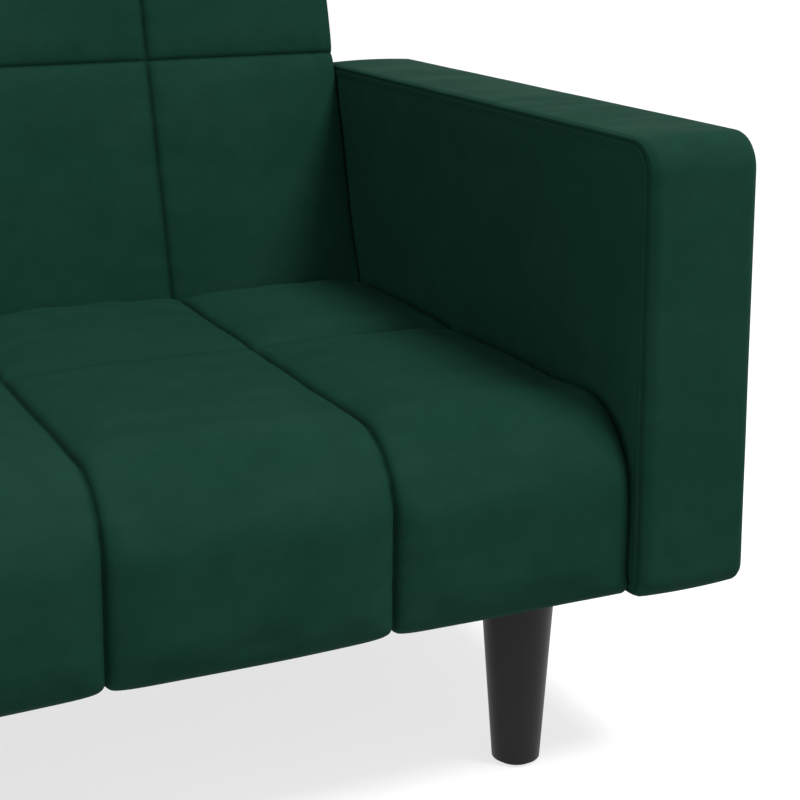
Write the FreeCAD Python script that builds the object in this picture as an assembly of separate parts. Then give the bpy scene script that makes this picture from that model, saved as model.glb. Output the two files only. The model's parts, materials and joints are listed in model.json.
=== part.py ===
"""Click-clack futon sofa bed with box arms, one STEP file per piece.

Millimetres. +Z up, +X to the sofa's left-hand end as it is sat on (right when seen from the front),
the front faces -Y. The origin is on the floor under the middle of the sofa. The pieces are laid out
with y counted from the front of the arms, and moved to the origin when they are written.
"""

import FreeCAD
import Part
import math
import os

V = FreeCAD.Vector

# ---- overall sizes
COLUMNS = 8
COLUMN_PITCH = 225.0
SEAT_WIDTH = COLUMNS * COLUMN_PITCH
SEAT_DEPTH = 540.0
SEAT_FRONT = 16.0
ARM_WIDTH = 105.0
ARM_DEPTH = 657.0
ARM_HEIGHT = 380.0
BACK_LENGTH = 467.0
BACK_THICKNESS = 110.0
RECLINE = 15.0
BASE_Z = 171.0

# ---- soft parts
QUILT = 14.0
SIDE_CLOTH = 4.0
SEAT_FRONT_ROUND = 48.0
SEAT_REAR_ROUND = 26.0
HEM_BELOW_FRAME = 3.0
BACK_BELOW_SEAT = 60.0
BACK_TOP_ROUND = 42.0
BACK_EDGE_ROUND = 20.0
BACK_GAP = 9.0
FOLD_CLEARANCE = 12.2
ARM_BELOW_FRAME = 6.0
ARM_FRONT_ROUND = 29.0
ARM_HEEL_ROUND = 17.0
ARM_REAR_ROUND = 14.0
ARM_EDGE_ROUND = 10.0
ARM_CLOTH = 2.5
ARM_PAD = 10.0
BOARD = 6.0

# ---- base frame
RAIL = 40.0
SEAT_RAIL_HEIGHT = 87.0
LOW_RAIL_HEIGHT = 33.0
SIDE_RAIL = 38.0
FRONT_FOAM = 28.0
SPRING_RAIL = 28.0
SPRING_RAIL_INSET = 36.0
REAR_RAIL_BEYOND = 84.0
REAR_RAIL = 28.0
PLANK = 80.0
PLANK_SPACING = 450.0
BLOCK_WIDTH = 60.0
DECK_PAD = 3.0
DUST_CLOTH = 1.0
STAPLE_COUNT = 14
STAPLE_CROWN = 10.0
STAPLE_WIRE = 1.0
STAPLE_PROUD = 0.6

# ---- zigzag springs
SPRINGS = 16
SPRING_WIRE = 1.8
SPRING_HALF_WIDTH = 20.0
SPRING_BENDS = 13
CLIP = (26.0, 14.0, 1.5)

# ---- legs
LEG_FRONT_Y = 93.0
LEG_REAR_INSET = 76.0
LEG_INSET = 62.0
LEG_TOP_R = 32.3
LEG_FOOT_R = 20.6
LEG_WALL = 4.0
LEG_WEB = 8.0
LEG_BOSS_R = 11.0
GLIDE = 3.0
GLIDE_R = 16.0
PLATE = 70.0
PLATE_THICK = 3.0
PLATE_SCREW_INSET = 9.0
STUD_R = 4.0
STUD_BELOW = 45.0
STUD_ABOVE = 24.0
SCREW_R = 2.5
SCREW_HEAD_R = 4.5
SCREW_HEAD = 2.0
SCREW_LENGTH = 16.0

# ---- arm fixing
ARM_BOLT_R = 4.0
ARM_BOLT_HEAD_R = 7.5
ARM_BOLT_HEAD = 5.0
WASHER_R = 12.0
WASHER = 2.0
SPACER_R = 11.0
TEE_NUT_R = 5.6
TEE_NUT = 14.0
ARM_BOLTS = 3
ARM_BOLT_MARGIN = 32.0
ARM_BOLT_RISE = 46.0
ARM_RAIL = 60.0

# ---- click-clack hinge
PIVOT_DEPTH = 50.0
HINGE_PLATE = 4.0
HINGE_GAP = 0.1
ARM_GAP = 0.9
PIVOT_R = 6.0
PIVOT_HEAD_R = 10.0
PIVOT_HEAD_GAP = 0.3
PIVOT_POCKET_R = 12.0
RUNNING = 0.05
HUB_R = 30.0
HUB_IN_TOOTH = 2.0
TOOTH = 4.0
TOOTH_SHARE = 0.9
TEETH = 14
TOOTH_PITCH = 12.5
FIRST_TOOTH = 190.0
SEAT_STRAP_LENGTH = 194.0
SEAT_STRAP_RISE = 19.0
SEAT_STRAP_WIDTH = 46.0
SEAT_SCREWS = 3
SEAT_SCREW_PITCH = 42.0
SEAT_SCREW_INSET = 18.0
SEAT_SCREW_STEP = 6.0
BACK_SCREW_SHARES = (0.52, 0.72, 0.92)
BACK_STRAP_LENGTH = 190.0
STRAP_WIDTH = 34.0
PAWL_ANGLE = 232.0
PAWL_REACH = 56.0
PAWL_R = 8.0
PAWL_HEEL = 7.2
PAWL_SIDE_GAP = 0.3
PAWL_BOSS_R = 11.0
PAWL_PIN_R = 3.0
PAWL_NOSE_CLEAR = 0.5
PAWL_THICK = 3.4
PAWL_NOSE_ANGLE = 262.0
PAWL_LIFT = 10.0
COIL_R = 4.2
COIL_WIRE_R = 0.72
COIL_PITCH = 1.92
COIL_TURNS = 3

# ---- backrest frame
BACK_RAIL = 30.0
BACK_RAIL_DEEP = 66.0
BACK_BOARD = 3.0
BACK_RAIL_TALL = 44.0
WEBBING = (50.0, 2.0)
UPRIGHTS = 3

# ---- worked out
HALF_SEAT = SEAT_WIDTH / 2
SEAT_HEM = BASE_Z - HEM_BELOW_FRAME
ARM_BOTTOM = BASE_Z - ARM_BELOW_FRAME
ARM_TOP = ARM_BOTTOM + ARM_HEIGHT
SEAT_BACK = SEAT_FRONT + SEAT_DEPTH
SPRING_RAIL_BACK = SEAT_BACK - SPRING_RAIL_INSET
REAR_RAIL_BACK = SEAT_BACK + REAR_RAIL_BEYOND
LEG_REAR_Y = REAR_RAIL_BACK - LEG_REAR_INSET
PLATE_OUTER = HALF_SEAT - ARM_GAP
PLATE_INNER = PLATE_OUTER - HINGE_PLATE
BACK_PLATE_OUTER = PLATE_INNER - HINGE_GAP
BACK_END = BACK_PLATE_OUTER - HINGE_PLATE
SEAT_END = PLATE_INNER
SEAT_RAIL_X = SEAT_END - SIDE_CLOTH
BACK_RAIL_X = BACK_END - SIDE_CLOTH
LEAN = math.radians(RECLINE)
ALONG = V(0, math.sin(LEAN), math.cos(LEAN))
INTO = V(0, math.cos(LEAN), -math.sin(LEAN))
PIVOT_BACK = PIVOT_DEPTH * (1 - math.sin(LEAN)) / math.cos(LEAN)
LOW_TOP = BASE_Z + LOW_RAIL_HEIGHT
FOLD_RADIUS = math.hypot(BACK_THICKNESS - PIVOT_DEPTH, BACK_BELOW_SEAT - PIVOT_BACK)
SEAT_TOP = LOW_TOP + FOLD_CLEARANCE + FOLD_RADIUS + PIVOT_DEPTH
CREASE = V(0, SEAT_BACK, SEAT_TOP)
PIVOT = CREASE + V(0, PIVOT_BACK, -PIVOT_DEPTH)
RAIL_TOP = BASE_Z + SEAT_RAIL_HEIGHT
RAIL_FRONT = SEAT_FRONT + QUILT + FRONT_FOAM
RAIL_BACK = RAIL_FRONT + RAIL
SPRING_RAIL_FRONT = SPRING_RAIL_BACK - SPRING_RAIL
REAR_RAIL_FRONT = REAR_RAIL_BACK - REAR_RAIL
PLATE_BOTTOM = BASE_Z - PLATE_THICK
SEAT_STRAP_FRONT = PIVOT.y - SEAT_STRAP_LENGTH
SEAT_STRAP_LOW = BASE_Z + SEAT_STRAP_RISE
SEAT_STRAP_HIGH = SEAT_STRAP_LOW + SEAT_STRAP_WIDTH
ARM_BOLT_Z = BASE_Z + ARM_BOLT_RISE
ARM_BOLT_FIRST = RAIL_BACK + ARM_BOLT_MARGIN
ARM_BOLT_LAST = SEAT_STRAP_FRONT - ARM_BOLT_MARGIN
ARM_BOLT_PITCH = (ARM_BOLT_LAST - ARM_BOLT_FIRST) / (ARM_BOLTS - 1)
LEG_X = HALF_SEAT - LEG_INSET
LEG_SPOTS = {
    "front_left": (-LEG_X, LEG_FRONT_Y),
    "front_middle": (0.0, LEG_FRONT_Y),
    "front_right": (LEG_X, LEG_FRONT_Y),
    "rear_left": (-LEG_X, LEG_REAR_Y),
    "rear_middle": (0.0, LEG_REAR_Y),
    "rear_right": (LEG_X, LEG_REAR_Y),
}
SIDES = {"left": -1, "right": 1}
REAR_ARC = CREASE + ALONG * (BACK_LENGTH - BACK_EDGE_ROUND) + INTO * (BACK_THICKNESS - BACK_EDGE_ROUND)
BACK_TOP_Y = REAR_ARC.y + BACK_EDGE_ROUND
FRAME_IN = BACK_THICKNESS - SIDE_CLOTH - BACK_BOARD
PAWL_PIVOT = PIVOT + V(
    0, PAWL_REACH * math.cos(math.radians(PAWL_ANGLE)), PAWL_REACH * math.sin(math.radians(PAWL_ANGLE))
)

pieces = {}


def box(x0, x1, y0, y1, z0, z1):
    """A box between two corners, given axis by axis."""
    return Part.makeBox(x1 - x0, y1 - y0, z1 - z0, V(x0, y0, z0))


def rod_x(radius, x0, x1, y, z):
    """A cylinder along X."""
    return Part.makeCylinder(radius, x1 - x0, V(x0, y, z), V(1, 0, 0))


def rod_z(radius, x, y, z0, z1):
    """A cylinder along Z."""
    return Part.makeCylinder(radius, z1 - z0, V(x, y, z0), V(0, 0, 1))


def prism(points, x0, x1, radii=None):
    """A closed outline in the YZ plane, its corners rounded, carried along X from x0 to x1."""
    count = len(points)
    radii = radii or [0] * count
    edges = []
    starts = []
    ends = []
    middles = []
    for index, corner in enumerate(points):
        before = (points[index - 1] - corner).normalize()
        after = (points[(index + 1) % count] - corner).normalize()
        radius = radii[index]
        half = before.getAngle(after) / 2
        reach = radius / math.tan(half) if radius else 0
        starts.append(corner + before * reach)
        ends.append(corner + after * reach)
        inward = before + after
        middles.append(corner + inward.normalize() * (radius / math.sin(half) - radius) if radius else None)
    for index in range(count):
        if middles[index]:
            edges.append(Part.Arc(starts[index], middles[index], ends[index]).toShape())
        following = starts[(index + 1) % count]
        if ends[index].distanceToPoint(following) > 1e-6:
            edges.append(Part.LineSegment(ends[index], following).toShape())
    face = Part.Face(Part.Wire(edges))
    solid = face.extrude(V(x1 - x0, 0, 0))
    solid.translate(V(x0, 0, 0))
    return solid


def span(side, inner, outer):
    """The X range from inner to outer on one side, lowest first."""
    return (inner, outer) if side > 0 else (-outer, -inner)


def back_point(along, into):
    """A point of the backrest: along its face from the crease, and into its thickness."""
    return CREASE + ALONG * along + INTO * into


def back_bar(x0, x1, along0, along1, into0, into1, radii=None):
    """A bar of the backrest, between two X values, lengths along it and depths into it."""
    corners = [
        back_point(along0, into0),
        back_point(along1, into0),
        back_point(along1, into1),
        back_point(along0, into1),
    ]
    return prism(corners, x0, x1, radii)


# ---- base frame

def seat_outline(inset_top, inset_front, inset_rear, bottom):
    """Side view of the seat pad: rounded front, level top, rear face parallel to the backrest."""
    rear_top = back_point(-inset_top, -BACK_GAP - inset_rear)
    rear_low = back_point(-BACK_BELOW_SEAT - BACK_GAP, -BACK_GAP - inset_rear)
    front = SEAT_FRONT + inset_front
    top = SEAT_TOP - inset_top
    return [
        V(0, front, bottom),
        V(0, front, top),
        V(0, rear_top.y, top),
        rear_low,
        V(0, rear_low.y, bottom),
    ]


def seat_frame():
    inside = SEAT_RAIL_X - SIDE_RAIL
    front_rail = box(-inside, inside, RAIL_FRONT, RAIL_BACK, BASE_Z, RAIL_TOP)
    pieces["seat_front_rail"] = front_rail
    inner = SEAT_RAIL_X - SIDE_RAIL
    pieces["seat_spring_rail"] = box(-inner, inner, SPRING_RAIL_FRONT, SPRING_RAIL_BACK, LOW_TOP, RAIL_TOP)
    rear_rail = box(-inner, inner, REAR_RAIL_FRONT, REAR_RAIL_BACK, BASE_Z, LOW_TOP)
    wrap = box(-inner, inner, REAR_RAIL_FRONT, REAR_RAIL_BACK + DUST_CLOTH, BASE_Z, LOW_TOP + DUST_CLOTH)
    pieces["seat_rear_rail"] = rear_rail
    pieces["rear_rail_cloth"] = wrap.cut(rear_rail)
    for name, side in SIDES.items():
        x0, x1 = span(side, inner, SEAT_RAIL_X)
        high = box(x0, x1, RAIL_FRONT, SPRING_RAIL_BACK, BASE_Z, RAIL_TOP)
        low = box(x0, x1, SPRING_RAIL_BACK, REAR_RAIL_BACK, BASE_Z, LOW_TOP)
        pieces["seat_side_rail_" + name] = high.fuse(low).removeSplitter()
    planks = [
        box(x - PLANK / 2, x + PLANK / 2, RAIL_BACK, REAR_RAIL_FRONT, BASE_Z, LOW_TOP)
        for x in (-PLANK_SPACING, 0, PLANK_SPACING)
    ]
    pieces["seat_cross_planks"] = Part.makeCompound(planks)
    blocks = []
    for side in SIDES.values():
        x0, x1 = span(side, inner - BLOCK_WIDTH, inner)
        blocks.append(box(x0, x1, RAIL_BACK, RAIL_BACK + RAIL, BASE_Z, LOW_TOP))
        blocks.append(box(x0, x1, LEG_REAR_Y - PLATE / 2, REAR_RAIL_FRONT, BASE_Z, LOW_TOP))
    pieces["leg_blocks"] = Part.makeCompound(blocks)


def zigzag_spring(x):
    """One zigzag spring, from the front rail to the spring rail: straight runs joined by half turns."""
    z = RAIL_TOP + CLIP[2] + SPRING_WIRE
    y0 = RAIL_FRONT + RAIL / 2
    y1 = SPRING_RAIL_FRONT + SPRING_RAIL / 2
    bend = (y1 - y0) / (2 * SPRING_BENDS)
    edges = []
    side = 1
    here = V(x - side * SPRING_HALF_WIDTH, y0, z)
    for index in range(SPRING_BENDS):
        there = V(x + side * SPRING_HALF_WIDTH, here.y, z)
        edges.append(Part.LineSegment(here, there).toShape())
        top = V(there.x + side * bend, there.y + bend, z)
        after = V(there.x, there.y + 2 * bend, z)
        edges.append(Part.Arc(there, top, after).toShape())
        here = after
        side = -side
    edges.append(Part.LineSegment(here, V(x + side * SPRING_HALF_WIDTH, here.y, z)).toShape())
    path = Part.Wire(edges)
    start = V(x - SPRING_HALF_WIDTH, y0, z)
    section = Part.Wire(Part.Circle(start, V(1, 0, 0), SPRING_WIRE).toShape())
    return path.makePipeShell([section], True, True)


def seat_springs():
    pitch = SEAT_WIDTH / SPRINGS
    spots = [-HALF_SEAT + pitch * (index + 0.5) for index in range(SPRINGS)]
    pieces["seat_springs"] = Part.makeCompound([zigzag_spring(x) for x in spots])
    width, depth, thick = CLIP
    clips = []
    for x in spots:
        for y in (RAIL_FRONT + RAIL / 2, SPRING_RAIL_FRONT + SPRING_RAIL / 2):
            saddle = box(x - width / 2, x + width / 2, y - depth / 2, y + depth / 2, RAIL_TOP,
                         RAIL_TOP + 2 * SPRING_WIRE + 2 * thick)
            wire = rod_x(SPRING_WIRE + RUNNING, x - width, x + width, y, RAIL_TOP + thick + SPRING_WIRE)
            clips.append(saddle.cut(wire))
    pieces["spring_clips"] = Part.makeCompound(clips)


def seat_pad():
    radii = [0, SEAT_FRONT_ROUND, SEAT_REAR_ROUND, 0, 0]
    outer = prism(seat_outline(0, 0, 0, SEAT_HEM), -SEAT_END, SEAT_END, radii)
    rounds = [0, SEAT_FRONT_ROUND - QUILT, SEAT_REAR_ROUND - QUILT, 0, 0]
    hollow = seat_outline(QUILT, QUILT, SIDE_CLOTH, SEAT_HEM - QUILT)
    inner = prism(hollow, -SEAT_RAIL_X, SEAT_RAIL_X, rounds)
    frame_room = box(-SEAT_RAIL_X, SEAT_RAIL_X, SPRING_RAIL_BACK, SEAT_BACK, 0, LOW_TOP)
    pieces["seat_cover"] = outer.cut(inner).cut(frame_room)
    pad_z = RAIL_TOP + 2 * (SPRING_WIRE + CLIP[2])
    x = SEAT_RAIL_X
    pieces["seat_deck_pad"] = box(-x, x, RAIL_FRONT, SPRING_RAIL_BACK, pad_z, pad_z + DECK_PAD)
    lifted = seat_outline(QUILT, QUILT, SIDE_CLOTH, BASE_Z)
    foam = prism(lifted, -x, x, rounds)
    pocket = box(-x - 1, x + 1, RAIL_FRONT, SEAT_BACK, 0, pad_z + DECK_PAD)
    pieces["seat_foam"] = foam.cut(pocket)


def dust_cover():
    low = BASE_Z - DUST_CLOTH
    x = SEAT_RAIL_X
    sheet = box(-x, x, RAIL_FRONT, REAR_RAIL_BACK, low, BASE_Z)
    for leg_x, leg_y in LEG_SPOTS.values():
        half = PLATE / 2
        sheet = sheet.cut(box(leg_x - half, leg_x + half, leg_y - half, leg_y + half, low - 1, BASE_Z + 1))
    pieces["dust_cover"] = sheet
    staples = []
    half = STAPLE_CROWN / 2
    step = 2 * (LEG_X - PLATE) / STAPLE_COUNT
    for index in range(STAPLE_COUNT):
        middle = -LEG_X + PLATE + step * (index + 0.5)
        if abs(middle) < PLATE:
            continue
        for y in (RAIL_FRONT + RAIL / 4, REAR_RAIL_BACK - REAR_RAIL / 2):
            y0 = y - STAPLE_WIRE / 2
            staples.append(box(middle - half, middle + half, y0, y0 + STAPLE_WIRE, low - STAPLE_PROUD, low))
    pieces["dust_cover_staples"] = Part.makeCompound(staples)


# ---- legs

def legs():
    height = PLATE_BOTTOM - GLIDE
    slope = (LEG_TOP_R - LEG_FOOT_R) / height
    for name, (x, y) in LEG_SPOTS.items():
        low = V(x, y, GLIDE)
        body = Part.makeCone(LEG_FOOT_R, LEG_TOP_R, height, low)
        inner_low = LEG_FOOT_R + slope * LEG_WEB - LEG_WALL
        inner_top = LEG_TOP_R - slope * LEG_WEB - LEG_WALL
        hollow = Part.makeCone(inner_low, inner_top, height - 2 * LEG_WEB, low + V(0, 0, LEG_WEB))
        boss = rod_z(LEG_BOSS_R, x, y, GLIDE, PLATE_BOTTOM)
        bore = rod_z(STUD_R, x, y, PLATE_BOTTOM - STUD_BELOW, PLATE_BOTTOM + 1)
        pieces["leg_" + name] = body.cut(hollow.cut(boss)).cut(bore)
    spots = list(LEG_SPOTS.values())
    pieces["leg_glides"] = Part.makeCompound([rod_z(GLIDE_R, x, y, 0, GLIDE) for x, y in spots])
    studs = [rod_z(STUD_R, x, y, PLATE_BOTTOM - STUD_BELOW, BASE_Z + STUD_ABOVE) for x, y in spots]
    pieces["leg_studs"] = Part.makeCompound(studs)
    half = PLATE / 2
    reach = half - PLATE_SCREW_INSET
    plates = []
    screws = []
    for x, y in spots:
        plate = box(x - half, x + half, y - half, y + half, PLATE_BOTTOM, BASE_Z)
        plate = plate.cut(rod_z(STUD_R, x, y, PLATE_BOTTOM, BASE_Z))
        for dx in (-reach, reach):
            for dy in (-reach, reach):
                plate = plate.cut(rod_z(SCREW_R, x + dx, y + dy, PLATE_BOTTOM, BASE_Z))
                shank = rod_z(SCREW_R, x + dx, y + dy, PLATE_BOTTOM, BASE_Z + SCREW_LENGTH)
                head = rod_z(SCREW_HEAD_R, x + dx, y + dy, PLATE_BOTTOM - SCREW_HEAD, PLATE_BOTTOM)
                screws.append(shank.fuse(head))
        plates.append(plate)
    pieces["leg_plates"] = Part.makeCompound(plates)
    pieces["leg_plate_screws"] = Part.makeCompound(screws)


# ---- arms

def arm_outline(inset):
    """Side view of the arm, set in all round by inset, and the radius of each corner."""
    corners = [
        V(0, inset, ARM_BOTTOM + inset),
        V(0, inset, ARM_TOP - inset),
        V(0, ARM_DEPTH - inset, ARM_TOP - inset),
        V(0, ARM_DEPTH - inset, ARM_BOTTOM + inset),
    ]
    rounds = (ARM_HEEL_ROUND, ARM_FRONT_ROUND, ARM_REAR_ROUND, ARM_EDGE_ROUND)
    return corners, [max(radius - inset, 1.0) for radius in rounds]


def arm_block(side, inset_side, inset):
    corners, radii = arm_outline(inset)
    x0, x1 = span(side, HALF_SEAT + inset_side, HALF_SEAT + ARM_WIDTH - inset_side)
    return prism(corners, x0, x1, radii)


def arms():
    pad_in = ARM_CLOTH + ARM_PAD
    board_in = pad_in + BOARD
    bolts = []
    washers = []
    spacers = []
    nuts = []
    for name, side in SIDES.items():
        outer = arm_block(side, 0, 0)
        cover = outer.cut(arm_block(side, ARM_CLOTH, ARM_CLOTH))
        padding = arm_block(side, ARM_CLOTH, ARM_CLOTH).cut(arm_block(side, pad_in, pad_in))
        core = arm_block(side, pad_in, pad_in)
        inside = arm_block(side, board_in, pad_in)
        panels = core.cut(inside)
        x0, x1 = span(side, HALF_SEAT + board_in, HALF_SEAT + ARM_WIDTH - board_in)
        low = ARM_BOTTOM + pad_in
        top = ARM_TOP - pad_in
        rear = ARM_DEPTH - pad_in
        bottom_rail = inside.common(box(x0, x1, 0, ARM_DEPTH, low, low + ARM_RAIL))
        top_rail = inside.common(box(x0, x1, 0, ARM_DEPTH, top - RAIL, top))
        front_post = inside.common(box(x0, x1, 0, pad_in + RAIL, low + ARM_RAIL, top - RAIL))
        rear_post = inside.common(box(x0, x1, rear - RAIL, ARM_DEPTH, low + ARM_RAIL, top - RAIL))
        for index in range(ARM_BOLTS):
            y = ARM_BOLT_FIRST + index * ARM_BOLT_PITCH
            head_x = SEAT_RAIL_X - SIDE_RAIL - WASHER
            board_x = HALF_SEAT + board_in
            nut_end = board_x + TEE_NUT
            shank = rod_x(ARM_BOLT_R, *span(side, head_x, nut_end), y, ARM_BOLT_Z)
            head = rod_x(ARM_BOLT_HEAD_R, *span(side, head_x - ARM_BOLT_HEAD, head_x), y, ARM_BOLT_Z)
            bolts.append(shank.fuse(head))
            washer = rod_x(WASHER_R, *span(side, head_x, head_x + WASHER), y, ARM_BOLT_Z)
            washers.append(washer.cut(shank))
            spacer = rod_x(SPACER_R, *span(side, SEAT_END, HALF_SEAT), y, ARM_BOLT_Z)
            spacers.append(spacer.cut(shank))
            nut = rod_x(TEE_NUT_R, *span(side, board_x, nut_end), y, ARM_BOLT_Z)
            nuts.append(nut.cut(shank))
            bottom_rail = bottom_rail.cut(nut).cut(shank)
            cover = cover.cut(shank)
            padding = padding.cut(shank)
            panels = panels.cut(shank)
            rail_name = "seat_side_rail_" + name
            pieces[rail_name] = pieces[rail_name].cut(shank)
            pieces["seat_cover"] = pieces["seat_cover"].cut(shank)
        pieces["arm_frame_" + name] = Part.makeCompound([bottom_rail, top_rail, front_post, rear_post])
        pieces["arm_panels_" + name] = panels
        pieces["arm_padding_" + name] = padding
        pieces["arm_cover_" + name] = cover
    pieces["arm_bolts"] = Part.makeCompound(bolts)
    pieces["arm_bolt_washers"] = Part.makeCompound(washers)
    pieces["arm_spacers"] = Part.makeCompound(spacers)
    pieces["arm_tee_nuts"] = Part.makeCompound(nuts)


# ---- click-clack hinges

def polar(centre, radius, degrees):
    angle = math.radians(degrees)
    return centre + V(0, radius * math.cos(angle), radius * math.sin(angle))


def ratchet_teeth(x0, x1):
    """Saw teeth round the lower rim of the back plate's hub."""
    teeth = []
    for index in range(TEETH):
        start = FIRST_TOOTH + index * TOOTH_PITCH
        points = [
            polar(PIVOT, HUB_R - HUB_IN_TOOTH, start),
            polar(PIVOT, HUB_R + TOOTH, start),
            polar(PIVOT, HUB_R - HUB_IN_TOOTH, start + TOOTH_PITCH * TOOTH_SHARE),
        ]
        teeth.append(prism(points, x0, x1))
    return teeth


def strap(start, end, width, x0, x1):
    """A flat bar with square ends between two points of the YZ plane."""
    run = (end - start).normalize()
    side = V(0, -run.z, run.y) * (width / 2)
    return prism([start - side, end - side, end + side, start + side], x0, x1)


def hinge_screw(side, y, z, plate_x, depth):
    """A screw driven inwards through a hinge plate whose outer face is at plate_x."""
    head = rod_x(SCREW_HEAD_R, *span(side, plate_x - SCREW_HEAD, plate_x), y, z)
    shank = rod_x(SCREW_R, *span(side, plate_x - depth, plate_x - SCREW_HEAD), y, z)
    return head.fuse(shank)


def pawl_shape(x0, x1):
    """The pawl: a round eye on its pin and a nose that stops just short of the teeth."""
    tip = polar(PIVOT, HUB_R + TOOTH + PAWL_NOSE_CLEAR, PAWL_NOSE_ANGLE)
    run = (tip - PAWL_PIVOT).normalize()
    side = V(0, -run.z, run.y)
    heel = side * PAWL_HEEL
    nose = prism([PAWL_PIVOT - heel, tip, PAWL_PIVOT + heel], x0, x1)
    eye = rod_x(PAWL_R, x0, x1, PAWL_PIVOT.y, PAWL_PIVOT.z)
    reach = Part.makeCylinder(HUB_R + TOOTH + PAWL_NOSE_CLEAR, x1 - x0, V(x0, PIVOT.y, PIVOT.z), V(1, 0, 0))
    pin = rod_x(PAWL_PIN_R + RUNNING, x0 - 1, x1 + 1, PAWL_PIVOT.y, PAWL_PIVOT.z)
    return nose.fuse(eye).cut(reach).cut(pin).removeSplitter()


def pawl_coil(x0):
    """A small torsion spring wound round the pawl pin, inboard of the pawl."""
    return [
        Part.makeTorus(
            COIL_R, COIL_WIRE_R, V(x0 + COIL_PITCH * (index + 0.5), PAWL_PIVOT.y, PAWL_PIVOT.z), V(1, 0, 0))
        for index in range(COIL_TURNS)
    ]


def hinges():
    pins = []
    springs = []
    pawl_pins = []
    seat_screws = []
    back_screws = []
    coil_room = COIL_PITCH * COIL_TURNS
    pawl_face = BACK_PLATE_OUTER - PAWL_SIDE_GAP
    for name, side in SIDES.items():
        seat_x = span(side, PLATE_INNER, PLATE_OUTER)
        back_x = span(side, BACK_END, BACK_PLATE_OUTER)
        pawl_x = span(side, pawl_face - PAWL_THICK, pawl_face)

        arm = prism([
            V(0, SEAT_STRAP_FRONT, SEAT_STRAP_LOW),
            V(0, SEAT_STRAP_FRONT, SEAT_STRAP_HIGH),
            V(0, PIVOT.y, PIVOT.z + HUB_R),
            V(0, PIVOT.y, PIVOT.z - HUB_R),
            V(0, PAWL_PIVOT.y, PAWL_PIVOT.z - PAWL_BOSS_R),
        ], *seat_x)
        seat_plate = arm.fuse(rod_x(HUB_R, *seat_x, PIVOT.y, PIVOT.z))
        seat_plate = seat_plate.fuse(rod_x(PAWL_BOSS_R, *seat_x, PAWL_PIVOT.y, PAWL_PIVOT.z)).removeSplitter()

        top = back_point(BACK_STRAP_LENGTH, FRAME_IN - BACK_RAIL_DEEP / 2)
        back_plate = rod_x(HUB_R, *back_x, PIVOT.y, PIVOT.z).fuse(ratchet_teeth(*back_x))
        back_plate = back_plate.fuse(strap(PIVOT, top, STRAP_WIDTH, *back_x)).removeSplitter()

        pin_x = span(side, BACK_END - SIDE_CLOTH, PLATE_OUTER)
        pin = rod_x(PIVOT_R, *pin_x, PIVOT.y, PIVOT.z)
        head_x = span(side, BACK_END - SIDE_CLOTH, BACK_END - PIVOT_HEAD_GAP)
        head = rod_x(PIVOT_HEAD_R, *head_x, PIVOT.y, PIVOT.z)
        pins.append(pin.fuse(head))
        seat_plate = seat_plate.cut(pin)
        back_plate = back_plate.cut(rod_x(PIVOT_R + RUNNING, *pin_x, PIVOT.y, PIVOT.z))
        pocket = rod_x(PIVOT_POCKET_R, *span(side, BACK_END - SIDE_CLOTH - 1, BACK_END), PIVOT.y, PIVOT.z)
        pieces["backrest_cover"] = pieces["backrest_cover"].cut(pocket)
        rail = "backrest_side_rail_" + name
        pieces[rail] = pieces[rail].cut(pocket)

        end = min(abs(pawl_x[0]), abs(pawl_x[1])) - coil_room
        pawl_pin = rod_x(PAWL_PIN_R, *span(side, end, PLATE_OUTER), PAWL_PIVOT.y, PAWL_PIVOT.z)
        pawl_pins.append(pawl_pin)
        seat_plate = seat_plate.cut(pawl_pin)
        springs.extend(pawl_coil(span(side, end, end + coil_room)[0]))
        pieces["hinge_pawl_" + name] = pawl_shape(*pawl_x)

        for index in range(SEAT_SCREWS):
            y = SEAT_STRAP_FRONT + SEAT_SCREW_INSET + index * SEAT_SCREW_PITCH
            z = (SEAT_STRAP_LOW + SEAT_STRAP_HIGH) / 2 + index * SEAT_SCREW_STEP
            screw = hinge_screw(side, y, z, PLATE_OUTER, SCREW_LENGTH + HINGE_PLATE)
            seat_screws.append(screw)
            seat_plate = seat_plate.cut(screw)
            pieces["seat_cover"] = pieces["seat_cover"].cut(screw)
            pieces["seat_side_rail_" + name] = pieces["seat_side_rail_" + name].cut(screw)
        for share in BACK_SCREW_SHARES:
            spot = PIVOT + (top - PIVOT) * share
            screw = hinge_screw(side, spot.y, spot.z, BACK_PLATE_OUTER, SCREW_LENGTH + HINGE_PLATE)
            back_screws.append(screw)
            back_plate = back_plate.cut(screw)
            pieces["backrest_cover"] = pieces["backrest_cover"].cut(screw)
            pieces[rail] = pieces[rail].cut(screw)
        pieces["hinge_seat_plate_" + name] = seat_plate
        pieces["hinge_back_plate_" + name] = back_plate
    pieces["hinge_pivot_pins"] = Part.makeCompound(pins)
    pieces["hinge_pawl_pins"] = Part.makeCompound(pawl_pins)
    pieces["hinge_pawl_springs"] = Part.makeCompound(springs)
    pieces["hinge_seat_screws"] = Part.makeCompound(seat_screws)
    pieces["hinge_back_screws"] = Part.makeCompound(back_screws)


# ---- backrest

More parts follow.
